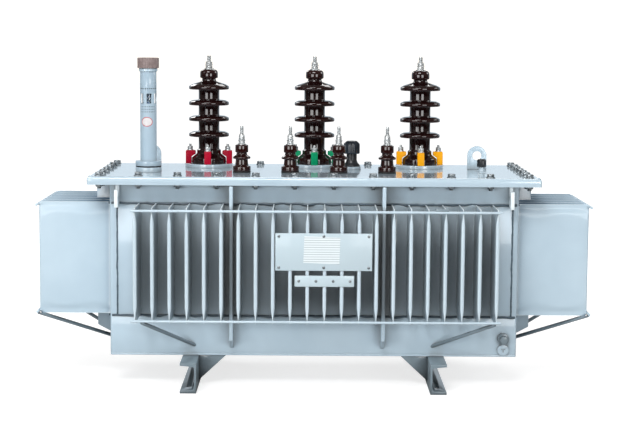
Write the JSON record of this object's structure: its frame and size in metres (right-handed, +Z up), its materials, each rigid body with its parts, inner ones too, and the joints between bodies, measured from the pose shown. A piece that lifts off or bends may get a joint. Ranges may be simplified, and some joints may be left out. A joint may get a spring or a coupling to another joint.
{
  "type": "power transformer",
  "caption": "Oil-filled power transformer with a corrugated tank, porcelain bushings on a bolted cover, an oil level tube and channel feet.",
  "frame": {"origin": "on the ground under the middle of the tank", "axes": "+Z up, +X to the right along the tank's length, -Y towards the side with the rating plate"},
  "size_m": [1.496, 0.658, 0.8815],
  "materials": {
    "tank_enamel": "light blue-grey gloss enamel",
    "gasket_rubber": "matt black",
    "brown_porcelain": "dark brown glaze",
    "red_paint": "gloss red",
    "green_paint": "gloss green",
    "yellow_paint": "gloss yellow",
    "zinc_plate": "zinc plated",
    "black_moulding": "black moulded plastic",
    "dark_moulding": "glossy blue-black moulded plastic",
    "grey_cap": "brown-grey moulded plastic",
    "clear_glass": "clear",
    "plate_metal": "plain satin plate"
  },
  "bodies": {
    "transformer": {"tank_floor": "tank_enamel", "tank_lower_band": "tank_enamel", "tank_upper_band": "tank_enamel", "cover_gasket": "gasket_rubber", "cover": "tank_enamel", "front_corrugated_wall": "tank_enamel", "rear_corrugated_wall": "tank_enamel", "left_corrugated_wall": "tank_enamel", "right_corrugated_wall": "tank_enamel", "fin_rods": "tank_enamel", "end_fin_rods": "tank_enamel", "fin_braces": "tank_enamel", "end_braces": "tank_enamel", "front_stiffeners": "tank_enamel", "rear_stiffeners": "tank_enamel", "end_stiffeners": "tank_enamel", "left_foot": "tank_enamel", "right_foot": "tank_enamel", "foot_gussets": "tank_enamel", "tank_lifting_hooks": "tank_enamel", "cover_lifting_eyes": "tank_enamel", "hv_bushing_seats": "tank_enamel", "hv_bushings": "brown_porcelain", "hv_clamps_red": "red_paint", "hv_clamps_green": "green_paint", "hv_clamps_yellow": "yellow_paint", "hv_terminals": "zinc_plate", "lv_bushing_gaskets": "gasket_rubber", "lv_bushings": "brown_porcelain", "lv_terminals": "zinc_plate", "tap_changer_ring": "tank_enamel", "tap_changer_body": "black_moulding", "oil_tube_seat": "tank_enamel", "oil_tube_gasket": "gasket_rubber", "oil_level_tube": "tank_enamel", "oil_sight_glass": "clear_glass", "oil_tube_cap": "grey_cap", "filler_pipe": "tank_enamel", "filler_cap": "black_moulding", "drain_cock_body": "tank_enamel", "drain_cock_outlet": "tank_enamel", "rating_plate": "plate_metal", "strip_plate": "plate_metal"},
    "tap_knob": {"tap_changer_knob": "dark_moulding"}
  },
  "joints": [
    {"name": "tap_changer_turn", "type": "hinge", "parent": "transformer", "child": "tap_knob", "pos_m": [0.105, 0.055, 0.61], "axis": [0, 0, 1], "range_deg": [-60, 60]}
  ]
}
